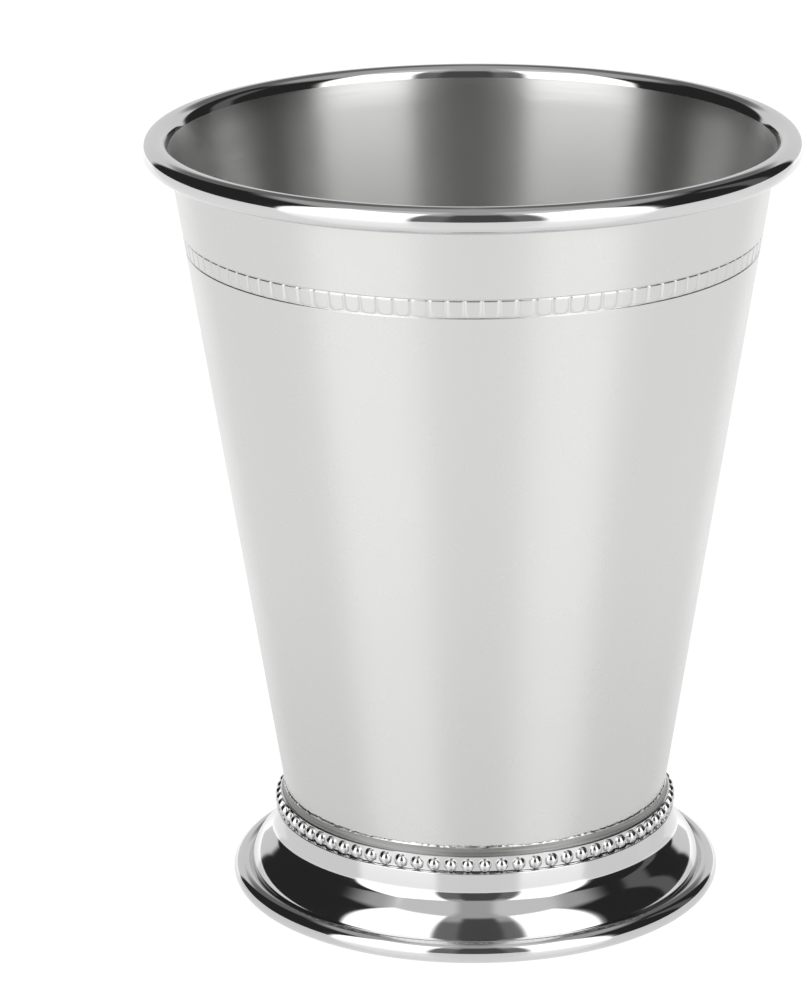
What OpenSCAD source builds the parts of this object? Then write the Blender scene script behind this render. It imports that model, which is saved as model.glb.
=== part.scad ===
// Julep cup: a tapered cup of drawn metal sheet with a curled rim and an engraved band,
// soldered onto a spun foot, with a beaded collar hiding the joint.
// Millimetres, +Z up, origin on the table at the middle of the foot.

/* [Cup] */
// Height from the table to the top of the rim
cup_h = 113; // [95:1:130]
// Outer diameter across the curled rim
mouth_d = 94; // [86:0.5:104]
// Outer diameter of the wall at the solder seam
waist_d = 56.4; // [52:0.2:60]
// Thickness of the drawn sheet
sheet_t = 0.6; // [0.4:0.05:0.9]
// Outer radius of the corner between wall and bottom
corner_r = 2.4; // [1.2:0.1:4]

/* [Curled rim] */
// Outer diameter of the hollow curl
curl_d = 3.76; // [3:0.02:5]
// How far the flare carries the curl out from the straight wall
flare_out = 0.5; // [0.3:0.05:0.8]
// Radius of the flare below the curl
flare_r = 20; // [12:1:40]
// Gap left between the free edge of the curl and the wall
curl_gap = 0.3; // [0.2:0.05:0.5]

/* [Engraved band] */
// Distance from the top of the rim down to the upper line
band_drop = 13.7; // [8:0.1:40]
// Distance between the two lines
band_h = 2.8; // [2:0.1:6]
// Width of a line
line_w = 0.2; // [0.1:0.05:0.4]
// Depth of a line
line_depth = 0.08; // [0.04:0.01:0.1]

/* [Foot] */
// How far the rolled edge reaches out past the neck
foot_reach = 6.45; // [5:0.05:9]
// Height of the shoulder that carries the cup
foot_h = 11.4; // [9:0.1:18]
// Length of the straight neck below the shoulder
neck_h = 1.1; // [0.8:0.1:3]
// Diameter of the rolled edge in section
roll_d = 3.2; // [2.6:0.1:4]
// Width of the flat that stands on the table
land_w = 1; // [0.6:0.1:1.4]
// Thickness of the spun sheet
foot_t = 0.8; // [0.5:0.05:1]
// Outer radius of the shoulder's edge
shoulder_r = 0.5; // [0.2:0.05:0.7]
// Width of the ledge under the cup
ledge_w = 5; // [3:0.5:8]

/* [Beaded collar] */
// Diameter of a bead
bead_d = 2.1; // [1.4:0.05:2.6]
// Gap between neighbouring beads
bead_gap = 0.34; // [0.1:0.02:1]
// Depth of a bead's centre inside the ring
bead_sink = 0.25; // [0.1:0.05:0.4]
// How far the beads stand out past the neck
bead_over = 0.15; // [0.05:0.05:0.4]
// Thickness of the ring at the solder seam
collar_t = 0.68; // [0.5:0.02:1]
// Height of the plain lip above the beads
lip_h = 0.2; // [0.15:0.05:0.8]
// Height of the cove above the lip
cove_h = 1.15; // [0.6:0.05:2]

/* [Solder] */
// Width of the seam, and of the collar's top edge that it lies on
seam_w = 0.18; // [0.1:0.02:0.3]
// Height of the seam up the wall
seam_h = 0.35; // [0.2:0.05:0.6]
// Film between soldered faces
solder_gap = 0.03; // [0.01:0.01:0.06]

/* [Hidden] */
$fn = 96;

// Steps along a corner, a cove or a quarter turn of a curl
arc_steps = 10;

// Angle on the rolled edge where the cove meets it, the lap of the roll behind the cove,
// and how far the roll turns
crease_angle = 133;
lap_angle = 50;
turn_angle = 325;

// Turn of the bead row, as a share of the step between beads
bead_turn_share = 0.06;

silver = [0.80, 0.80, 0.81];
polished = [0.88, 0.88, 0.89];
solder = [0.70, 0.70, 0.70];

// A point at a distance and an angle from a centre
function polar(centre, r, a) = centre + r * [cos(a), sin(a)];

// Points along an arc: all of them, all but the last, and all but the first
function arc(centre, r, a0, a1, steps) =
    [for (i = [0:steps]) polar(centre, r, a0 + (a1 - a0) * i / steps)];
function arc_to(centre, r, a0, a1, steps) =
    [for (i = [0:steps - 1]) polar(centre, r, a0 + (a1 - a0) * i / steps)];
function arc_on(centre, r, a0, a1, steps) =
    [for (i = [1:steps]) polar(centre, r, a0 + (a1 - a0) * i / steps)];

// A long arc through the listed angles, so that its highest and widest points are exact
function bend(centre, r, stops, steps) = concat(
    [polar(centre, r, stops[0])],
    [for (k = [1:len(stops) - 1]) each arc_on(centre, r, stops[k - 1], stops[k], steps)]);
function reversed(list) = [for (k = [len(list) - 1:-1:0]) list[k]];

// Radius of the arc that leaves a vertical line and ends across by dx and down by dz
function cove_radius(dx, dz) = (dx * dx + dz * dz) / (2 * dx);

// Heights of the collar: beads, lip, cove, and the solder seam on top
waist_r = waist_d / 2;
collar_z = foot_h + solder_gap;
bead_z = collar_z + bead_d / 2;
lip_z = collar_z + bead_d + lip_h;
seam_z = lip_z + cove_h;

// Radii that follow from the wall: ring, bead row and the neck under it
ring_r = waist_r + collar_t;
bead_row_r = ring_r - bead_sink;
neck_r = bead_row_r + bead_d / 2 - bead_over;
bead_count = round(2 * PI * bead_row_r / (bead_d + bead_gap));
bead_step = 360 / bead_count;

// The curl's centre, and its distance from the wall's outer face
curl_r = curl_d / 2;
curl_c = [mouth_d / 2 - curl_r, cup_h - curl_r];
curl_off = curl_r + flare_out - sheet_t;

// The wall is straight from the seam up and passes the curl's centre at that distance
wall_run = curl_c - [waist_r, seam_z];
lean = atan2(wall_run[0], wall_run[1]) - asin(curl_off / norm(wall_run));
up_wall = [sin(lean), cos(lean)];
off_wall = [cos(lean), -sin(lean)];
function wall_r(z) = waist_r + (z - seam_z) * tan(lean);

// The flare is an arc that touches the wall's inner face and the curl
flare_run = sqrt(flare_out * (2 * flare_r - curl_d - flare_out));
flare_c = curl_c - (curl_r + flare_out - flare_r) * off_wall - flare_run * up_wall;
flare_dir = curl_c - flare_c;
flare_a = atan2(flare_dir[1], flare_dir[0]);
curl_end = acos((curl_off - curl_gap) / curl_r) - lean - 180;
curl_stops = [flare_a, 90, 0, -90, curl_end];

// The foot's outer radius, and the centre of its rolled edge, which the table cuts to the land
foot_r = neck_r + foot_reach;
roll_r = roll_d / 2;
roll_c = [foot_r - roll_r, sqrt(roll_r * roll_r - land_w * land_w / 4)];

// Section of the cup: outside from the middle of the bottom to the free edge of the curl,
// then back down the inside
module cup_section() {
    base_z = foot_h + solder_gap;
    corner_z = base_z + corner_r;
    corner_c = [wall_r(corner_z) - corner_r / cos(lean), corner_z];
    outside = concat(
        [[0, base_z]],
        arc(corner_c, corner_r, -90, -lean, arc_steps),
        arc_to(flare_c, flare_r - sheet_t, 180 - lean, flare_a, arc_steps),
        bend(curl_c, curl_r - sheet_t, curl_stops, arc_steps));
    inside = concat(
        reversed(bend(curl_c, curl_r, curl_stops, arc_steps)),
        arc_on(flare_c, flare_r, flare_a, 180 - lean, arc_steps),
        arc(corner_c, corner_r - sheet_t, -lean, -90, arc_steps),
        [[0, base_z + sheet_t]]);
    polygon(concat(outside, inside));
}

// Round-bottomed line engraved around the wall
module engraved_line(z) {
    cut_r = (line_w * line_w / 4 + line_depth * line_depth) / (2 * line_depth);
    rotate_extrude()
        translate([wall_r(z), z] + (cut_r - line_depth) * off_wall)
            circle(r = cut_r);
}

module cup_body() {
    color(silver)
        difference() {
            rotate_extrude() cup_section();
            engraved_line(cup_h - band_drop);
            engraved_line(cup_h - band_drop - band_h);
        }
}

// Sheet of the foot: ledge under the cup, shoulder, neck and the cove, which ends in the
// middle of the rolled edge's wall and leaves a crease where it goes in
module foot_sheet_section() {
    ledge_r = neck_r - ledge_w;
    crease = polar(roll_c, roll_r - foot_t / 2, crease_angle);
    neck_z = foot_h - neck_h;
    sweep_r = cove_radius(crease[0] - neck_r, neck_z - crease[1]);
    sweep_c = [neck_r + sweep_r, neck_z];
    sweep_end = 180 + asin((neck_z - crease[1]) / sweep_r);
    polygon(concat(
        [[ledge_r, foot_h]],
        arc([neck_r - shoulder_r, foot_h - shoulder_r], shoulder_r, 90, 0, arc_steps),
        arc(sweep_c, sweep_r, 180, sweep_end, 2 * arc_steps),
        arc(sweep_c, sweep_r + foot_t, sweep_end, 180, 2 * arc_steps),
        [[neck_r - foot_t, foot_h - foot_t], [ledge_r, foot_h - foot_t]]));
}

// Hollow rolled edge, open in a narrow slit behind the cove
module roll_section() {
    start = crease_angle + lap_angle;
    stops = [start, 90, 0, -90, start - turn_angle];
    polygon(concat(
        bend(roll_c, roll_r, stops, arc_steps),
        reversed(bend(roll_c, roll_r - foot_t, stops, arc_steps))));
}

module foot() {
    color(polished)
        rotate_extrude()
            intersection() {
                union() {
                    foot_sheet_section();
                    roll_section();
                }
                square([foot_r, foot_h]);
            }
}

// Ring with a tapered bore that follows the wall and a hollow cove up to the seam
module collar_section() {
    edge_r = waist_r + solder_gap + seam_w;
    hollow_r = cove_radius(ring_r - edge_r, cove_h);
    hollow_c = [edge_r + hollow_r, seam_z];
    hollow_end = 180 + asin(cove_h / hollow_r);
    polygon(concat(
        [[wall_r(collar_z) + solder_gap, collar_z], [ring_r, collar_z]],
        arc(hollow_c, hollow_r, hollow_end, 180, arc_steps),
        [[waist_r + solder_gap, seam_z]]));
}

module beaded_collar() {
    color(polished)
        union() {
            rotate_extrude() collar_section();
            for (i = [0:bead_count - 1])
                rotate(bead_step * (i + bead_turn_share))
                    translate([bead_row_r, 0, bead_z])
                        sphere(d = bead_d);
        }
}

// Thin fillet of solder between the wall and the collar's top edge
module solder_seam() {
    foot_z = seam_z + solder_gap;
    color(solder)
        rotate_extrude()
            polygon([
                [wall_r(foot_z) + solder_gap, foot_z],
                [wall_r(foot_z) + solder_gap + seam_w, foot_z],
                [wall_r(foot_z + seam_h) + solder_gap, foot_z + seam_h]]);
}

cup_body();
foot();
beaded_collar();
solder_seam();
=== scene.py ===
# %% [markdown]
# A julep cup in polished and satin metal
#
# The real cup is four pieces of metal: a tapered cup drawn from one sheet, with its edge
# curled into a hollow rim; a spun foot; a ring of beads that hides the joint; and the
# solder between them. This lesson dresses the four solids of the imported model. Metal
# shows every flat facet, so each piece is turned again here as a fine round mesh of the
# same section, and the small engraved cells, which the solids leave out, are added.

# %% The frame, and the sizes taken from it
import math

import bmesh
import bpy
import numpy as np
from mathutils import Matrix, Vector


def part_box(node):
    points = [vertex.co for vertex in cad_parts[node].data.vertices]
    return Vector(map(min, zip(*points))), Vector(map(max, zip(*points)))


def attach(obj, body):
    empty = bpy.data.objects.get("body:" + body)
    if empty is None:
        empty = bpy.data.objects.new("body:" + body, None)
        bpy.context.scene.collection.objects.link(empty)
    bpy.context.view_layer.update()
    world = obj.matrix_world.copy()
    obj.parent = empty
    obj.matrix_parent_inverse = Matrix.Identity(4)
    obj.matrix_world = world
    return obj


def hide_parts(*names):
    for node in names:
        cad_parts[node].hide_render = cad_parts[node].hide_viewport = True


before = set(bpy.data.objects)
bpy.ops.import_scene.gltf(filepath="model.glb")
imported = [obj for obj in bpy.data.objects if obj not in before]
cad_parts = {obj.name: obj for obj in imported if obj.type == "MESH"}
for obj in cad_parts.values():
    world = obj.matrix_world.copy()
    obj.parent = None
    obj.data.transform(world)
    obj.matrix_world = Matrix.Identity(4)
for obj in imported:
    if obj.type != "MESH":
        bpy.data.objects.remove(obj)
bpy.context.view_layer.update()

MM = 0.001
body_low, body_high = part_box("cup_body")
foot_low, foot_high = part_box("foot")
collar_low, collar_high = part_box("beaded_collar")

cup_top = body_high.z / MM
mouth_r = body_high.x / MM
base_z = body_low.z / MM
foot_r = foot_high.x / MM
foot_z = foot_high.z / MM
collar_z = collar_low.z / MM
seam_z = collar_high.z / MM
print(f"cup {cup_top:.1f} mm high, mouth {2 * mouth_r:.1f} mm, foot {2 * foot_r:.1f} mm")

# %% [markdown]
# The camera comes first, because every later choice is judged through it. The photograph
# looks down on the cup by about 18 degrees from a little over half a metre, with a long
# lens. The frame is 807 by 1000 pixels, and the cup stands right of its middle, which is
# a lens shift and not a turn: a turned camera would make the sides of the cup lean. The
# small roll is the tilt of the photograph itself.

# %% The camera
FRAME_PX = 1000
SENSOR_MM = 36
focal_px = 4368
view_distance = 636.8 * MM
look_pitch = math.radians(17.85)
look_roll = math.radians(0.22)
look_z = 56.5 * MM
axis_px = (468.85, 509.6)
middle_px = (403.5, 500)

camera_data = bpy.data.cameras.new("camera")
camera_data.sensor_fit = "VERTICAL"
camera_data.sensor_height = SENSOR_MM
camera_data.lens = focal_px * SENSOR_MM / FRAME_PX
camera_data.shift_x = (middle_px[0] - axis_px[0]) / FRAME_PX
camera_data.shift_y = (axis_px[1] - middle_px[1]) / FRAME_PX
camera_data.clip_start = 0.01
camera = bpy.data.objects.new("camera", camera_data)
camera.location = (0, -view_distance * math.cos(look_pitch),
                   look_z + view_distance * math.sin(look_pitch))
camera.rotation_euler = (math.pi / 2 - look_pitch, look_roll, 0)
bpy.context.scene.collection.objects.link(camera)
bpy.context.scene.camera = camera
bpy.context.scene.view_settings.view_transform = "Standard"
print(f"lens {camera_data.lens:.1f} mm at {view_distance:.3f} m")

# %% [markdown]
# A turned piece is its section, drawn once on one side of the axis. Straight stretches
# need only their ends, and the round ones are arcs. Sections here are lists of (radius,
# height) in millimetres, and they run so that metal lies on their left: up the outside
# and back down the inside. Then every face of the turned mesh points out of the metal.


# %% Arcs of a section
def polar(centre, radius, degrees):
    a = math.radians(degrees)
    return (centre[0] + radius * math.cos(a), centre[1] + radius * math.sin(a))


def arc(centre, radius, start, end, steps, skip=0):
    """Points along an arc, without the first skip of them."""
    return [polar(centre, radius, start + (end - start) * k / steps)
            for k in range(skip, steps + 1)]


def straight(start, end, steps):
    """Points between two others, without either of them."""
    return [(start[0] + (end[0] - start[0]) * k / steps,
             start[1] + (end[1] - start[1]) * k / steps) for k in range(1, steps)]


def sweep_radius(dx, dz):
    """Radius of the arc that leaves an upright line and ends across by dx, down by dz."""
    return (dx * dx + dz * dz) / (2 * dx)


# %% [markdown]
# The cup's wall is straight from the solder seam to a slight flare under the rim, where
# the sheet turns outward and rolls over into the hollow curl. The lean of the wall
# follows from the mouth, the seam and the size of the curl, just as in the solid.

# %% The section of the cup
sheet_t = 0.6
corner_r = 2.4
curl_r = 1.88
flare_out = 0.5
flare_r = 20
curl_gap = 0.3
waist_r = 28.2

curl_c = (mouth_r - curl_r, cup_top - curl_r)
curl_off = curl_r + flare_out - sheet_t
run = (curl_c[0] - waist_r, curl_c[1] - seam_z)
lean = math.atan2(run[0], run[1]) - math.asin(curl_off / math.hypot(*run))
lean_deg = math.degrees(lean)


def wall_r(z):
    """Radius of the wall's outer face at a height."""
    return waist_r + (z - seam_z) * math.tan(lean)


flare_run = math.sqrt(flare_out * (2 * flare_r - 2 * curl_r - flare_out))
flare_side = curl_r + flare_out - flare_r
flare_c = (curl_c[0] - flare_side * math.cos(lean) - flare_run * math.sin(lean),
           curl_c[1] + flare_side * math.sin(lean) - flare_run * math.cos(lean))
flare_deg = math.degrees(math.atan2(curl_c[1] - flare_c[1], curl_c[0] - flare_c[0]))
curl_end = math.degrees(math.acos((curl_off - curl_gap) / curl_r)) - lean_deg - 180
corner_c = (wall_r(base_z + corner_r) - corner_r / math.cos(lean), base_z + corner_r)
print(f"wall leans {lean_deg:.2f} degrees, curl turns from {flare_deg:.0f} to {curl_end:.0f}")

# %% [markdown]
# A row of small cells runs round the wall between two cut lines. On the real cup a wheel
# rolls them in, so each is a shallow pillow with round lower corners, and the lines are
# bright where the tool has burnished them. A bump map would not catch the light along
# the outline of each cell, so the wall gets a dense strip of faces there, joined to the
# coarse faces above and below, and the cells are pressed into it as real shape.

# %% Rows of the engraved band
cells = 108
cell_columns = 16
coarse = 2 * cells
fine = cell_columns * cells
band_top = cup_top - 13.7
band_low = band_top - 2.8
line_w = 0.24
edge_steps = 5
middle_steps = 9
top_rows = [band_top + line_w * (0.5 - k / edge_steps) for k in range(edge_steps + 1)]
low_rows = [band_low + line_w * (0.5 - k / edge_steps) for k in range(edge_steps + 1)]
cell_span = (top_rows[-1], low_rows[0])
middle_rows = [cell_span[0] + (cell_span[1] - cell_span[0]) * k / middle_steps
               for k in range(1, middle_steps)]
soft_rows = [cell_span[0] - 0.1, cell_span[0] - 0.2, cell_span[1] + 0.1, cell_span[1] + 0.25]
band_rows = sorted(top_rows + low_rows + middle_rows + soft_rows)
print(f"{cells} cells, {len(band_rows)} rows of {fine} points")


# %% [markdown]
# The mesh of a turned piece is a stack of rings. Two rings of as many points are joined
# by four-sided faces. Where the coarse wall meets the dense strip, each long edge of the
# coarse ring meets several short ones, and one many-sided face closes the step, so the
# wall has no crack and no T-joint.

# %% Turning a section with coarse and dense rings
def turned_mesh(name, section, counts, slots):
    """A mesh from section points, points per ring, and a material slot per stretch."""
    points, starts, faces, marks = [], [], [], []
    for (r, z), count in zip(section, counts):
        starts.append(len(points))
        if r < 1e-6:
            points.append((0, 0, z * MM))
            continue
        turn = np.arange(count) * 2 * np.pi / count
        ring = np.stack([r * np.cos(turn), r * np.sin(turn), np.full(count, z)], 1) * MM
        points.extend(map(tuple, ring))
    for i in range(len(section) - 1):
        k = i + 1
        a, b, na, nb = starts[i], starts[k], counts[i], counts[k]
        step_a, step_b = max(1, na // nb), max(1, nb // na)
        for j in range(min(na, nb)):
            low = [a + (j * step_a + s) % na for s in range(step_a + 1)]
            high = [b + (j * step_b + s) % nb for s in range(step_b + 1)]
            if section[i][0] < 1e-6:
                low = [a]
            if section[k][0] < 1e-6:
                high = [b]
            faces.append(low + high[::-1])
            marks.append(slots[i])
    mesh = bpy.data.meshes.new(name)
    mesh.from_pydata(points, [], faces)
    mesh.polygons.foreach_set("material_index", marks)
    mesh.polygons.foreach_set("use_smooth", [True] * len(faces))
    mesh.update()
    return mesh


def add_piece(name, mesh, materials):
    piece = bpy.data.objects.new(name, mesh)
    for material in materials:
        mesh.materials.append(material)
    bpy.context.scene.collection.objects.link(piece)
    return piece


# %% [markdown]
# The finishes. Each is silver plate on a base metal, so the colour is nearly white and
# only the surface differs: polished by a soft wheel on rim, collar and foot; satin on
# the outer wall, where a fine abrasive leaves an even haze; and brushed round and round
# inside, where the cup was turned against a coarser pad. Colours are sRGB hex values.


# %% Colours and a helper for nodes
def colour(code):
    """Linear RGBA from an sRGB hex code."""
    channels = [int(code[i:i + 2], 16) / 255 for i in (0, 2, 4)]
    return [c / 12.92 if c <= 0.04045 else ((c + 0.055) / 1.055) ** 2.4
            for c in channels] + [1]


def add(tree, kind, settings=None, inputs=None):
    """Adds a node, sets its properties, and fills or links its inputs."""
    node = tree.nodes.new(kind)
    for key, value in (settings or {}).items():
        setattr(node, key, value)
    for key, value in (inputs or {}).items():
        if isinstance(value, bpy.types.NodeSocket):
            tree.links.new(value, node.inputs[key])
        else:
            node.inputs[key].default_value = value
    return node


def metal(name, code, roughness, anisotropic=0.0):
    """A metal with its tree emptied but for the shader and the output."""
    material = bpy.data.materials.new(name)
    material.use_nodes = True
    tree = material.node_tree
    tree.nodes.clear()
    shader = add(tree, "ShaderNodeBsdfPrincipled", inputs={
        "Base Color": colour(code), "Metallic": 1.0, "Roughness": roughness,
        "Anisotropic": anisotropic})
    output = add(tree, "ShaderNodeOutputMaterial")
    tree.links.new(shader.outputs["BSDF"], output.inputs["Surface"])
    return material, tree, shader


# %% [markdown]
# Satin outside: the haze is finer than a pixel, so roughness carries it. What shows is
# that the haze is not quite even. A soft noise with patches of about 12 mm shifts the
# roughness a little, and a fine one of 0.4 mm gives the tooth of the abrasive.

# %% Satin silver plate
satin, tree, shader = metal("satin_silver_plate", "D9D9D8", 0.27)
place = add(tree, "ShaderNodeTexCoord")
patches = add(tree, "ShaderNodeTexNoise", inputs={
    "Vector": place.outputs["Object"], "Scale": 1 / (12 * MM), "Detail": 3.0})
haze = add(tree, "ShaderNodeMapRange", inputs={
    "Value": patches.outputs["Fac"], "From Min": 0.3, "From Max": 0.7,
    "To Min": 0.25, "To Max": 0.3})
tree.links.new(haze.outputs["Result"], shader.inputs["Roughness"])
tooth = add(tree, "ShaderNodeTexNoise", inputs={
    "Vector": place.outputs["Object"], "Scale": 1 / (0.4 * MM), "Detail": 2.0})
grain = add(tree, "ShaderNodeBump", inputs={
    "Strength": 0.06, "Distance": 0.02 * MM, "Height": tooth.outputs["Fac"]})
tree.links.new(grain.outputs["Normal"], shader.inputs["Normal"])

# %% [markdown]
# Brushed inside: the pad leaves lines that run round the cup. Noise drawn out along the
# rings does this: it changes slowly across and along, and fast with height. The real
# lines are near 0.1 mm apart, finer than a pixel, so they are drawn a little wider.
# The shader's own anisotropy spreads each reflection up and down, across the lines.

# %% Brushed silver plate
brushed, tree, shader = metal("brushed_silver_plate", "D9D9D8", 0.34, 0.9)
place = add(tree, "ShaderNodeTexCoord")
drawn_out = add(tree, "ShaderNodeMapping", inputs={
    "Vector": place.outputs["Object"],
    "Scale": (1 / (18 * MM), 1 / (18 * MM), 1 / (0.16 * MM))})
lines = add(tree, "ShaderNodeTexNoise", inputs={
    "Vector": drawn_out.outputs["Vector"], "Scale": 1.0, "Detail": 4.0,
    "Roughness": 0.65})
sheen = add(tree, "ShaderNodeMapRange", inputs={
    "Value": lines.outputs["Fac"], "From Min": 0.3, "From Max": 0.7,
    "To Min": 0.3, "To Max": 0.4})
tree.links.new(sheen.outputs["Result"], shader.inputs["Roughness"])
scratches = add(tree, "ShaderNodeBump", inputs={
    "Strength": 0.2, "Distance": 0.02 * MM, "Height": lines.outputs["Fac"]})
tree.links.new(scratches.outputs["Normal"], shader.inputs["Normal"])
shader.inputs["Anisotropic Rotation"].default_value = 0.25
around = add(tree, "ShaderNodeTangent", {"direction_type": "RADIAL", "axis": "Z"})
tree.links.new(around.outputs["Tangent"], shader.inputs["Tangent"])

# %% [markdown]
# Polished: a mirror is never perfect. A wheel leaves faint waves a few millimetres long,
# and handling leaves a little haze. Both stay small, or the crisp dark and light bands
# of the rim and the foot would break up.

# %% Polished silver plate
polished, tree, shader = metal("polished_silver_plate", "DADADA", 0.06)
place = add(tree, "ShaderNodeTexCoord")
waves = add(tree, "ShaderNodeTexNoise", inputs={
    "Vector": place.outputs["Object"], "Scale": 1 / (5 * MM), "Detail": 2.0})
handling = add(tree, "ShaderNodeMapRange", inputs={
    "Value": waves.outputs["Fac"], "From Min": 0.3, "From Max": 0.7,
    "To Min": 0.04, "To Max": 0.09})
tree.links.new(handling.outputs["Result"], shader.inputs["Roughness"])
ripple = add(tree, "ShaderNodeBump", inputs={
    "Strength": 0.1, "Distance": 0.02 * MM, "Height": waves.outputs["Fac"]})
tree.links.new(ripple.outputs["Normal"], shader.inputs["Normal"])

# %% [markdown]
# The little moulding above the beads lies in the corner of wall and collar, where no
# wheel reaches. It sits deep in shade, so its plate is a darker grey of painted
# shade, streaked with faint rings that run round the cup.

# %% Silver plate darkened with painted shade
shaded_recess_plate, tree, shader = metal("silver_plate_painted_shade", "8F8F8E", 0.4)
place = add(tree, "ShaderNodeTexCoord")
drawn_out = add(tree, "ShaderNodeMapping", inputs={
    "Vector": place.outputs["Object"],
    "Scale": (1 / (9 * MM), 1 / (9 * MM), 1 / (0.25 * MM))})
rings = add(tree, "ShaderNodeTexNoise", inputs={
    "Vector": drawn_out.outputs["Vector"], "Scale": 1.0, "Detail": 3.0})
# Painted shade: the moulding's plate is darkened for the shade of the recess, mixed between
# two greys along the rings.
recess_shade = add(tree, "ShaderNodeMix", {"data_type": "RGBA"}, {
    "Factor": rings.outputs["Fac"]})
recess_shade.inputs[6].default_value = colour("6A6A69")
recess_shade.inputs[7].default_value = colour("B4B4B2")
tree.links.new(recess_shade.outputs[2], shader.inputs["Base Color"])

# %% [markdown]
# Solder: it sets with a dull, slightly lumpy skin.

# %% Solder
solder, tree, shader = metal("silver_solder", "DCDCDA", 0.3)
place = add(tree, "ShaderNodeTexCoord")
lumps = add(tree, "ShaderNodeTexNoise", inputs={
    "Vector": place.outputs["Object"], "Scale": 1 / (0.8 * MM), "Detail": 3.0})
skin = add(tree, "ShaderNodeBump", inputs={
    "Strength": 0.5, "Distance": 0.06 * MM, "Height": lumps.outputs["Fac"]})
tree.links.new(skin.outputs["Normal"], shader.inputs["Normal"])
dulled = add(tree, "ShaderNodeMapRange", inputs={
    "Value": lumps.outputs["Fac"], "From Min": 0.3, "From Max": 0.7,
    "To Min": 0.2, "To Max": 0.42})
tree.links.new(dulled.outputs["Result"], shader.inputs["Roughness"])

# %% [markdown]
# Now the cup itself. The list of section points goes up the outside, round the hollow of
# the curl to its free edge, back over the curl, and down the inside to the middle of the
# bottom. Each stretch carries the finish that the real one has: the plating shop polishes
# the curl, and the satin starts just under it.

# %% The cup's section and mesh
SATIN, BRUSHED, POLISHED = 0, 1, 2
section, counts, slots = [], [], []


def go(points, count, slot):
    """Adds points to the cup's section, with the finish of the stretch that follows."""
    section.extend(points)
    counts.extend([count] * len(points))
    slots.extend([slot] * len(points))


wall_foot = polar(corner_c, corner_r, -lean_deg)
flare_foot = polar(flare_c, flare_r - sheet_t, 180 - lean_deg)
below = (wall_r(band_rows[0]), band_rows[0])
above = (wall_r(band_rows[-1]), band_rows[-1])
go([(0, base_z)], 1, SATIN)
go(straight((0, base_z), (corner_c[0], base_z), 5), coarse, SATIN)
go(arc(corner_c, corner_r, -90, -lean_deg, 8), coarse, SATIN)
go(straight(wall_foot, below, 12), coarse, SATIN)
go([(wall_r(z), z) for z in band_rows], fine, SATIN)
go(straight(above, flare_foot, 4), coarse, SATIN)
go(arc(flare_c, flare_r - sheet_t, 180 - lean_deg, flare_deg, 6), coarse, SATIN)
go(arc(curl_c, curl_r - sheet_t, flare_deg, curl_end, 24, skip=1), coarse, POLISHED)
go(arc(curl_c, curl_r, curl_end, flare_deg, 56), coarse, POLISHED)
go(arc(flare_c, flare_r, flare_deg, 180 - lean_deg, 8, skip=1), coarse, BRUSHED)
inner_top = polar(flare_c, flare_r, 180 - lean_deg)
inner_foot = polar(corner_c, corner_r - sheet_t, -lean_deg)
go(straight(inner_top, inner_foot, 12), coarse, BRUSHED)
go(arc(corner_c, corner_r - sheet_t, -lean_deg, -90, 8), coarse, BRUSHED)
go(straight((corner_c[0], base_z + sheet_t), (0, base_z + sheet_t), 5), coarse, BRUSHED)
go([(0, base_z + sheet_t)], 1, BRUSHED)
cup_mesh = turned_mesh("cup_shell", section, counts, slots)
cup = add_piece("cup_shell", cup_mesh, [satin, brushed, polished])
print(f"cup: {len(section)} rings, {len(cup_mesh.polygons)} faces")

# %% [markdown]
# Three shapes come from node trees: the pressed cells, the turned pieces and the row of
# beads. Each tree takes a geometry and some values and gives a geometry back. Once it
# has run, its result replaces the mesh, so the piece that is handed on is final.


# %% Making a node tree, and running it on a piece
def geometry_tree(name, sockets):
    """A tree with geometry in and out, further inputs by label, and its two end nodes."""
    tree = bpy.data.node_groups.new(name, "GeometryNodeTree")
    face = tree.interface
    face.new_socket("Geometry", in_out="INPUT", socket_type="NodeSocketGeometry")
    labels = {label: face.new_socket(label, in_out="INPUT",
                                     socket_type="NodeSocket" + kind).identifier
              for label, kind in sockets.items()}
    face.new_socket("Geometry", in_out="OUTPUT", socket_type="NodeSocketGeometry")
    return tree, labels, add(tree, "NodeGroupInput"), add(tree, "NodeGroupOutput")


def bake(piece):
    """Replaces a piece's mesh by its finished one, and takes its modifiers off."""
    bpy.context.view_layer.update()
    done = bpy.data.meshes.new_from_object(
        piece.evaluated_get(bpy.context.evaluated_depsgraph_get()))
    piece.modifiers.clear()
    old, piece.data = piece.data, done
    done.name = piece.name
    bpy.data.meshes.remove(old)


def run_tree(piece, tree, labels, values):
    """Runs a node tree on a piece with the given values, and keeps the result."""
    modifier = piece.modifiers.new(tree.name, "NODES")
    modifier.node_group = tree
    for label, value in values.items():
        modifier[labels[label]] = value
    bake(piece)


# %% [markdown]
# The cells are pressed in by a small node tree. For every point it works out how far
# round the band it lies, as a share of one cell, and how far it is from the edge of the
# nearest rounded cell. Points outside a cell sink to the full depth; those near its edge
# sink part of the way, which makes the pillow. The plain wall beside the band stays put.

# %% A node tree that presses a row of cells
press, press_in, entry, leave = geometry_tree("pressed_cells", {
    "Cells": "Int", "Top": "Float", "Bottom": "Float", "Depth": "Float", "Edge": "Float",
    "Corner": "Float", "Lean": "Float"})
gap_share = 0.08
top_corner_share = 0.3
fade_share = 0.6


def calc(operation, a, b=0.0, c=0.0, clamp=False):
    """One step of arithmetic in the tree."""
    node = add(press, "ShaderNodeMath", {"operation": operation, "use_clamp": clamp},
               {0: a, 1: b, 2: c})
    return node.outputs[0]


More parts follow.
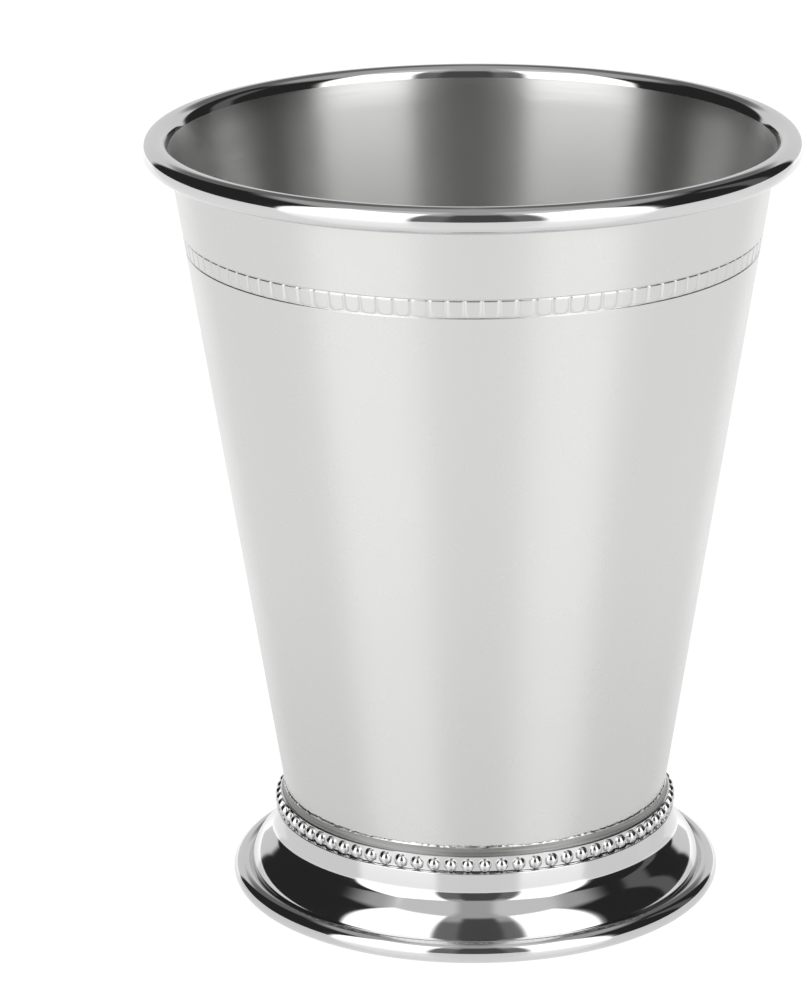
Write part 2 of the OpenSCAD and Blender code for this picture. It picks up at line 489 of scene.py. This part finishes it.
spot = add(press, "GeometryNodeInputPosition")
xyz = add(press, "ShaderNodeSeparateXYZ", inputs={0: spot.outputs[0]})
x, y, z = xyz.outputs[0], xyz.outputs[1], xyz.outputs[2]
turn = calc("ARCTAN2", y, x)
turns = calc("DIVIDE", turn, 2 * math.pi)
share = calc("FRACT", calc("MULTIPLY_ADD", turns, entry.outputs["Cells"], 0.5))
radius = calc("SQRT", calc("MULTIPLY_ADD", x, x, calc("MULTIPLY", y, y)))
pitch = calc("DIVIDE", calc("MULTIPLY", radius, 2 * math.pi), entry.outputs["Cells"])
across = calc("MULTIPLY", calc("ABSOLUTE", calc("SUBTRACT", share, 0.5)), pitch)
half_w = calc("SUBTRACT", calc("MULTIPLY", pitch, 0.5),
              calc("MULTIPLY", entry.outputs["Edge"], gap_share))
half_h = calc("MULTIPLY", calc("SUBTRACT", entry.outputs["Top"],
                               entry.outputs["Bottom"]), 0.5)
middle = calc("ADD", entry.outputs["Bottom"], half_h)
along = calc("SUBTRACT", z, middle)
low_half = calc("LESS_THAN", along, 0.0)
corner = calc("MULTIPLY", entry.outputs["Corner"],
              calc("MULTIPLY_ADD", low_half, 1 - top_corner_share, top_corner_share))
over_w = calc("MAXIMUM", calc("ADD", calc("SUBTRACT", across, half_w), corner), 0.0)
over_h = calc("MAXIMUM", calc("ADD", calc("SUBTRACT", calc("ABSOLUTE", along), half_h),
                              corner), 0.0)
inside = calc("MINIMUM", calc("MAXIMUM",
                              calc("ADD", calc("SUBTRACT", across, half_w), corner),
                              calc("ADD", calc("SUBTRACT", calc("ABSOLUTE", along),
                                               half_h), corner)), 0.0)
outward = calc("SQRT", calc("MULTIPLY_ADD", over_w, over_w,
                            calc("MULTIPLY", over_h, over_h)))
gap = calc("SUBTRACT", calc("ADD", outward, inside), corner)
rise = add(press, "ShaderNodeMapRange", {"interpolation_type": "SMOOTHSTEP"}, {
    "Value": gap, "From Min": calc("MULTIPLY", entry.outputs["Edge"], -1.0),
    "From Max": 0.0, "To Min": 0.0, "To Max": 1.0})
in_band = add(press, "ShaderNodeMapRange", {"interpolation_type": "SMOOTHSTEP"}, {
    "Value": calc("ABSOLUTE", along),
    "From Min": half_h,
    "From Max": calc("MULTIPLY_ADD", entry.outputs["Edge"], fade_share, half_h),
    "To Min": 1.0, "To Max": 0.0})
sink = calc("MULTIPLY", calc("MULTIPLY", rise.outputs["Result"],
                             in_band.outputs["Result"]), entry.outputs["Depth"])
outside = calc("GREATER_THAN", radius, calc("MULTIPLY_ADD", z, math.tan(lean),
                                            entry.outputs["Lean"]))
sink = calc("MULTIPLY", sink, outside)
shrink = calc("DIVIDE", calc("SUBTRACT", radius, sink), radius)
moved = add(press, "ShaderNodeCombineXYZ", inputs={
    0: calc("MULTIPLY", x, shrink), 1: calc("MULTIPLY", y, shrink), 2: z})
set_place = add(press, "GeometryNodeSetPosition", inputs={
    "Geometry": entry.outputs["Geometry"], "Position": moved.outputs[0]})
press.links.new(set_place.outputs[0], leave.inputs[0])

# %% Pressing the cells into the wall
wall_middle_r = wall_r(0) - sheet_t / 2
run_tree(cup, press, press_in, {
    "Cells": cells, "Top": (band_top - line_w / 2) * MM,
    "Bottom": (band_low + line_w / 2) * MM, "Depth": 0.13 * MM, "Edge": 0.24 * MM,
    "Corner": 0.85 * MM, "Lean": wall_middle_r * MM})
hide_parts("cup_body")
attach(cup, "root")
print(f"cup: {len(cup.data.vertices)} points after pressing")

# %% [markdown]
# The foot and the collar's ring are plain turned pieces, so a node tree turns them: it
# carries the section round a circle. The section arrives as a loop of edges, drawn
# around the circle's radius, and Curve to Mesh does the rest. The same tree serves both.

# %% A node tree that turns a section
lathe, lathe_in, entry, leave = geometry_tree("lathe", {
    "Radius": "Float", "Steps": "Int", "Finish": "Material"})
outline = add(lathe, "GeometryNodeMeshToCurve", inputs={"Mesh": entry.outputs["Geometry"]})
circle = add(lathe, "GeometryNodeCurvePrimitiveCircle", inputs={
    "Resolution": entry.outputs["Steps"], "Radius": entry.outputs["Radius"]})
upright = add(lathe, "GeometryNodeSetCurveNormal", {"mode": "Z_UP"},
              {"Curve": circle.outputs[0]})
skin = add(lathe, "GeometryNodeCurveToMesh", inputs={
    "Curve": upright.outputs[0], "Profile Curve": outline.outputs[0]})
smooth = add(lathe, "GeometryNodeSetShadeSmooth", inputs={"Geometry": skin.outputs[0]})
finish = add(lathe, "GeometryNodeSetMaterial", inputs={
    "Geometry": smooth.outputs[0], "Material": entry.outputs["Finish"]})
lathe.links.new(finish.outputs[0], leave.inputs[0])


def turn_on_lathe(name, section, radius, steps, finish):
    """A turned piece from its closed section, by the node tree."""
    loop = bpy.data.meshes.new(name)
    corners = [((r - radius) * MM, -z * MM, 0) for r, z in section]
    loop.from_pydata(corners, [(k, (k + 1) % len(corners)) for k in range(len(corners))], [])
    piece = bpy.data.objects.new(name, loop)
    bpy.context.scene.collection.objects.link(piece)
    run_tree(piece, lathe, lathe_in, {"Radius": radius * MM, "Steps": steps, "Finish": finish})
    mend = bmesh.new()
    mend.from_mesh(piece.data)
    bmesh.ops.remove_doubles(mend, verts=mend.verts, dist=1e-7)
    bmesh.ops.recalc_face_normals(mend, faces=mend.faces)
    mend.to_mesh(piece.data)
    mend.free()
    return piece


# %% [markdown]
# The foot was spun over a form: a ledge under the cup, a straight neck, a tight hollow,
# a short straight flank, and a bell that turns down to an edge rolled under into a
# hollow bead. The bell must end on the rolled edge at its own slope. Going from the neck
# to that point takes so much outward and so much down, and those two demands give the
# length of the flank and the radius of the bell.

# %% The foot's outline
foot_t = 0.8
neck_h = 2.45
hollow_below = 2.2
flank_deg, bell_deg = 48, 10
roll_r = 1.6
land_w = 1.0
shoulder_r = 0.15
ledge_w = 5
crease_deg, lap_deg, turn_deg = 133, 50, 325
foot_reach = 6.45
neck_r = foot_r - foot_reach
roll_c = (foot_r - roll_r, math.sqrt(roll_r ** 2 - land_w ** 2 / 4))

crease = polar(roll_c, roll_r - foot_t / 2, crease_deg)
throat_c = (neck_r + hollow_below, foot_z - neck_h)
flank_top = polar(throat_c, hollow_below, 180 + flank_deg)
flank_way = polar((0, 0), 1, flank_deg)
bell_way = polar((0, 0), 1, bell_deg)
flank, bell_r = np.linalg.solve(
    [[flank_way[1], bell_way[0] - flank_way[0]], [flank_way[0], flank_way[1] - bell_way[1]]],
    [crease[0] - flank_top[0], flank_top[1] - crease[1]])
bell_c = (crease[0] - bell_r * bell_way[0], crease[1] - bell_r * bell_way[1])
print(f"neck radius {neck_r:.2f}, flank {flank:.2f}, bell radius {bell_r:.2f} mm")

# %% [markdown]
# The bell meets the roll in a crease, the sharpest line of the whole cup, so it is a real
# corner in the section. The section follows the metal from the ledge down the outside,
# round the roll, back inside the roll, and up behind the bell. The table cuts the roll
# to a narrow land.

# %% The foot's section and piece
def meeting(c0, r0, c1, r1):
    """The upper point where two circles cross."""
    dx, dz = c1[0] - c0[0], c1[1] - c0[1]
    apart = math.hypot(dx, dz)
    a = (apart ** 2 + r0 ** 2 - r1 ** 2) / (2 * apart)
    h = math.sqrt(r0 ** 2 - a ** 2)
    both = [(c0[0] + (a * dx + s * h * dz) / apart, c0[1] + (a * dz - s * h * dx) / apart)
            for s in (1, -1)]
    return max(both, key=lambda p: p[1])


def heading(centre, point):
    return math.degrees(math.atan2(point[1] - centre[1], point[0] - centre[0]))


outer_crease = meeting(roll_c, roll_r, bell_c, bell_r)
inner_crease = meeting(roll_c, roll_r, bell_c, bell_r - foot_t)
land_deg = math.degrees(math.asin(roll_c[1] / roll_r))
roll_end = crease_deg + lap_deg - turn_deg
ledge_r = neck_r - ledge_w

foot_section = [(ledge_r, foot_z)]
foot_section += arc((neck_r - shoulder_r, foot_z - shoulder_r), shoulder_r, 90, 0, 8)
foot_section += arc(throat_c, hollow_below, 180, 180 + flank_deg, 16)
foot_section += arc(bell_c, bell_r, flank_deg, heading(bell_c, outer_crease), 24)
foot_section += arc(roll_c, roll_r, heading(roll_c, outer_crease), -land_deg, 44, skip=1)
foot_section += arc(roll_c, roll_r, land_deg - 180, roll_end, 6)
foot_section += arc(roll_c, roll_r - foot_t, roll_end, crease_deg + lap_deg, 28)
foot_section += arc(roll_c, roll_r, crease_deg + lap_deg, heading(roll_c, inner_crease), 6)
foot_section += arc(bell_c, bell_r - foot_t, heading(bell_c, inner_crease), flank_deg, 14,
                    skip=1)
foot_section += arc(throat_c, hollow_below + foot_t, 180 + flank_deg, 180, 14)
foot_section += [(neck_r - foot_t, foot_z - foot_t), (ledge_r, foot_z - foot_t)]
foot = turn_on_lathe("foot_shell", foot_section, neck_r, 256, polished)
foot.data.set_sharp_from_angle(angle=math.radians(32))
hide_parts("foot")
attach(foot, "root")
print(f"foot: crease at {outer_crease[0]:.2f}, {outer_crease[1]:.2f} mm, "
      f"{len(foot.data.polygons)} faces")

# %% [markdown]
# The beaded collar is a strip of beaded wire bent into a ring. Its beads are domes that
# stand on a flat band, with a plain lip above them and a small hollow moulding that runs
# up to the solder. One bead is modelled, and a node tree sets it at every step round the
# ring. The count comes from the pitch, and the turn from where the photograph's front
# bead stands.

# %% The collar's ring
collar_t = 0.68
bead_d = 2.1
bead_sink = 0.25
lip_h = 0.2
chamfer = 0.06
groove_in, groove_round, groove_h = 0.3, 0.12, 0.2
cove_steps = 8
solder_film = 0.03
seam_w = 0.18

ring_r = waist_r + collar_t
bead_z = collar_z + bead_d / 2
bead_row_r = ring_r - bead_sink
lip_z = collar_z + bead_d + lip_h
cove_z = lip_z + groove_h
edge_r = waist_r + solder_film + seam_w
groove_r = ring_r - groove_in
rise_r = groove_r - edge_r
ring_section = [(wall_r(collar_z) + solder_film, collar_z), (ring_r - chamfer, collar_z),
                (ring_r, collar_z + chamfer), (ring_r, lip_z - chamfer),
                (ring_r - chamfer, lip_z)]
ring_section += arc((groove_r + groove_round, lip_z + groove_round), groove_round, 270, 180, 5)
ring_section += [(edge_r + rise_r * (1 - k / cove_steps) ** 2,
                  cove_z + (seam_z - cove_z) * k / cove_steps)
                 for k in range(cove_steps + 1)]
ring_section += [(waist_r + solder_film, seam_z)]
ring = turn_on_lathe("collar_shell", ring_section, ring_r, 256, polished)
ring.data.materials.append(shaded_recess_plate)
# The moulding above the lip takes the second finish, the plate darkened with painted shade.
for side in ring.data.polygons:
    middle_r = math.hypot(side.center.x, side.center.y)
    if side.center.z > (lip_z + 0.01) * MM and middle_r > (edge_r - 0.01) * MM:
        side.material_index = 1
print(f"collar: ring radius {ring_r:.2f}, bead row radius {bead_row_r:.2f} mm")

# %% A node tree that sets beads round a ring
beads, bead_in, entry, leave = geometry_tree("bead_row", {
    "Count": "Int", "Row radius": "Float", "Height": "Float", "Bead radius": "Float",
    "Turn": "Float", "Finish": "Material"})
spots = add(beads, "GeometryNodeMeshCircle", inputs={
    "Vertices": entry.outputs["Count"], "Radius": entry.outputs["Row radius"]})
lift = add(beads, "ShaderNodeCombineXYZ", inputs={2: entry.outputs["Height"]})
spin = add(beads, "ShaderNodeCombineXYZ", inputs={2: entry.outputs["Turn"]})
turned = add(beads, "GeometryNodeTransform", inputs={
    "Geometry": spots.outputs[0], "Translation": lift.outputs[0],
    "Rotation": spin.outputs[0]})
bead = add(beads, "GeometryNodeMeshUVSphere", inputs={
    "Segments": 28, "Rings": 16, "Radius": entry.outputs["Bead radius"]})
copies = add(beads, "GeometryNodeInstanceOnPoints", inputs={
    "Points": turned.outputs[0], "Instance": bead.outputs[0]})
real = add(beads, "GeometryNodeRealizeInstances", inputs={0: copies.outputs[0]})
smooth = add(beads, "GeometryNodeSetShadeSmooth", inputs={"Geometry": real.outputs[0]})
finish = add(beads, "GeometryNodeSetMaterial", inputs={
    "Geometry": smooth.outputs[0], "Material": entry.outputs["Finish"]})
both = add(beads, "GeometryNodeJoinGeometry")
beads.links.new(finish.outputs[0], both.inputs[0])
beads.links.new(entry.outputs["Geometry"], both.inputs[0])
beads.links.new(both.outputs[0], leave.inputs[0])

# %% The beads on the collar
bead_count = 74
bead_turn = 0.06
run_tree(ring, beads, bead_in, {
    "Count": bead_count, "Row radius": bead_row_r * MM, "Height": bead_z * MM,
    "Bead radius": bead_d / 2 * MM, "Turn": bead_turn * 2 * math.pi / bead_count,
    "Finish": polished})
ring.data.set_sharp_from_angle(angle=math.radians(40))
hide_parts("beaded_collar")
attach(ring, "root")
print(f"collar: {bead_count} beads, {len(ring.data.polygons)} faces")

# %% [markdown]
# The solder runs between the collar and the wall. It was flowed by hand, so its upper
# edge wanders and it swells in places. A sum of a few waves with seeded random phases
# gives an edge that wanders and still closes on itself after a full turn.


# %% The solder
def wander(seed, counts, turn):
    """Waves of the given counts round the ring, with random phases, within about 1."""
    phases = np.random.default_rng(seed).uniform(0, 2 * np.pi, len(counts))
    return sum(np.sin(n * turn + p) for n, p in zip(counts, phases)) / len(counts) ** 0.5


seam_columns = 720
seam_rise, seam_waver, seam_swell = 0.27, 0.09, 0.03
turn = np.arange(seam_columns) * 2 * np.pi / seam_columns
rise = seam_rise + seam_waver * wander(3, (7, 13, 29, 61, 113, 167, 229), turn)
swell = seam_swell * wander(8, (9, 17, 31, 83, 151, 211), turn)
seam_foot = seam_z + solder_film
solder_points = []
for share_up, share_out in ((0, 0), (0, 1), (0.2, 0.95), (0.45, 0.7), (0.7, 0.4), (0.9, 0.13),
                            (1, 0)):
    height = seam_foot + rise * share_up
    bulge = swell * math.sin(math.pi * min(1, share_up + 0.1)) if share_out else 0
    out = wall_r(height) + solder_film + seam_w * share_out + bulge
    solder_points.append(np.stack([out * np.cos(turn), out * np.sin(turn), height], 1))
rows = len(solder_points)
solder_faces = [(i * seam_columns + j, i * seam_columns + (j + 1) % seam_columns,
                 (i + 1) % rows * seam_columns + (j + 1) % seam_columns,
                 (i + 1) % rows * seam_columns + j)
                for i in range(rows) for j in range(seam_columns)]
solder_mesh = bpy.data.meshes.new("solder_fillet")
solder_mesh.from_pydata(np.concatenate(solder_points) * MM, [], solder_faces)
solder_mesh.polygons.foreach_set("use_smooth", [True] * len(solder_faces))
solder_mesh.set_sharp_from_angle(angle=math.radians(50))
seam = add_piece("solder_fillet", solder_mesh, [solder])
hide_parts("solder_seam")
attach(seam, "root")
print(f"solder: {rise.min():.2f} to {rise.max():.2f} mm high")

# %% [markdown]
# The studio. Metal shows what stands round it, so the studio is most of the look. The
# cup stands on white paper, with more white paper behind it. A softbox stands on each
# side of the camera, dark walls beyond them make the dark bands on rim, collar and foot,
# and the ceiling is a plain light grey. All this is far away, so it is drawn as light by
# direction: the azimuth picks softbox or wall, and the height picks floor or ceiling.

# %% The world around the cup
world = bpy.data.worlds.new("studio")
bpy.context.scene.world = world
world.use_nodes = True
tree = world.node_tree
tree.nodes.clear()


def step(operation, a, b=0.0, c=0.0):
    """One step of arithmetic in the world's tree."""
    return add(tree, "ShaderNodeMath", {"operation": operation}, {0: a, 1: b, 2: c}).outputs[0]


def between(value, low, high, soft):
    """1 between two angles in degrees and 0 outside, with soft borders."""
    rise_in = add(tree, "ShaderNodeMapRange", {"interpolation_type": "SMOOTHSTEP"}, {
        "Value": value, "From Min": low - soft, "From Max": low + soft})
    fall = add(tree, "ShaderNodeMapRange", {"interpolation_type": "SMOOTHSTEP"}, {
        "Value": value, "From Min": high - soft, "From Max": high + soft,
        "To Min": 1.0, "To Max": 0.0})
    return step("MULTIPLY", rise_in.outputs[0], fall.outputs[0])


direction = add(tree, "ShaderNodeTexCoord")
parts = add(tree, "ShaderNodeSeparateXYZ", inputs={0: direction.outputs["Generated"]})
azimuth = step("DEGREES", step("ARCTAN2", parts.outputs[0],
                               step("MULTIPLY", parts.outputs[1], -1.0)))
height = step("DEGREES", step("ARCSINE", parts.outputs[2]))
aside = step("ABSOLUTE", azimuth)



def hang(light, around, panels):
    """Hangs panels before the light: level, then low, high and soft border in degrees."""
    for level, across, up in panels.values():
        share = step("MULTIPLY", between(around, *across), between(height, *up))
        light = step("ADD", step("MULTIPLY", step("SUBTRACT", 1.0, share), light),
                     step("MULTIPLY", share, level))
    return light


ceiling_level = 0.55
on_both_sides = {
    "dark wall": (0.03, (66, 142, 3), (-12, 52, 5)),
    "grey gap by the camera": (0.22, (-1, 24, 3), (-3, 48, 6)),
    "white paper behind": (0.95, (142, 181, 2), (-3, 26, 3)),
    "grey above the paper": (0.2, (142, 181, 4), (27, 60, 5))}
on_one_side = {
    "left reflector": (0.9, (-78, -19, 6), (60, 78, 4)),
    "right reflector": (0.9, (19, 74, 6), (60, 78, 4)),
    "dark camera": (0.1, (-9, 14, 2), (-3, 58, 4)),
    "grey slit at the right": (0.16, (108, 120, 2), (-12, 44, 3)),
    "left softbox": (2.2, (-69, -22, 2), (-2, 61, 2)),
    "right softbox": (2.2, (25, 64, 2), (-2, 60, 2))}
light = hang(ceiling_level, aside, on_both_sides)
light = hang(light, azimuth, on_one_side)
paths = add(tree, "ShaderNodeLightPath")
light = step("MAXIMUM", light, paths.outputs["Is Camera Ray"])
glow = add(tree, "ShaderNodeBackground", inputs={"Strength": light})
output = add(tree, "ShaderNodeOutputWorld")
tree.links.new(glow.outputs[0], output.inputs["Surface"])
print("studio:", ", ".join([*on_both_sides, *on_one_side]))

# %% [markdown]
# White paper under a product is lit until it photographs pure white, but from the cup's
# side it reads as light grey. The floor does the same: it glows white for the camera, and
# grey for whatever the metal reflects, with a painted shadow that makes that grey a little
# darker close to the foot. A small share of it is plain paper, which leaves a faint
# shadow where the foot stands. The metal also sees the paper's sheen at a low angle.

# %% The floor
near, far = 40 * MM, 140 * MM
shadowed_level, far_level, camera_level = 0.72, 0.84, 0.93
floor_half = 3.0
paper = bpy.data.materials.new("paper_sweep")
paper.use_nodes = True
tree = paper.node_tree
tree.nodes.clear()
paths = add(tree, "ShaderNodeLightPath")
spot = add(tree, "ShaderNodeTexCoord")
away = add(tree, "ShaderNodeVectorMath", {"operation": "LENGTH"}, {0: spot.outputs["Object"]})
# Painted shadow: the grey that the metal sees is darker close to the foot, for the cup's
# shadow on the lit paper.
shade = add(tree, "ShaderNodeMapRange", {"interpolation_type": "SMOOTHSTEP"}, {
    "Value": away.outputs["Value"], "From Min": near, "From Max": far,
    "To Min": shadowed_level, "To Max": far_level})
glow_level = add(tree, "ShaderNodeMapRange", inputs={
    "Value": paths.outputs["Is Camera Ray"], "To Min": shade.outputs[0],
    "To Max": camera_level})
glow = add(tree, "ShaderNodeEmission", inputs={"Strength": glow_level.outputs[0]})
matte = add(tree, "ShaderNodeBsdfDiffuse", inputs={"Color": (0.2, 0.2, 0.2, 1)})
gloss = add(tree, "ShaderNodeBsdfGlossy", inputs={"Roughness": 0.18})
edge_on = add(tree, "ShaderNodeFresnel", inputs={"IOR": 2.1})
sheen = add(tree, "ShaderNodeMath", {"operation": "SUBTRACT", "use_clamp": True}, {
    0: edge_on.outputs[0], 1: paths.outputs["Is Camera Ray"]})
coat = add(tree, "ShaderNodeMixShader", inputs={
    0: sheen.outputs[0], 1: matte.outputs[0], 2: gloss.outputs[0]})
sheet = add(tree, "ShaderNodeAddShader", inputs={0: glow.outputs[0], 1: coat.outputs[0]})
output = add(tree, "ShaderNodeOutputMaterial")
tree.links.new(sheet.outputs[0], output.inputs["Surface"])
floor_mesh = bpy.data.meshes.new("floor")
floor_mesh.from_pydata([(x * floor_half, y * floor_half, 0)
                        for x, y in ((-1, -1), (1, -1), (1, 1), (-1, 1))], [], [(0, 1, 2, 3)])
floor = add_piece("floor", floor_mesh, [paper])
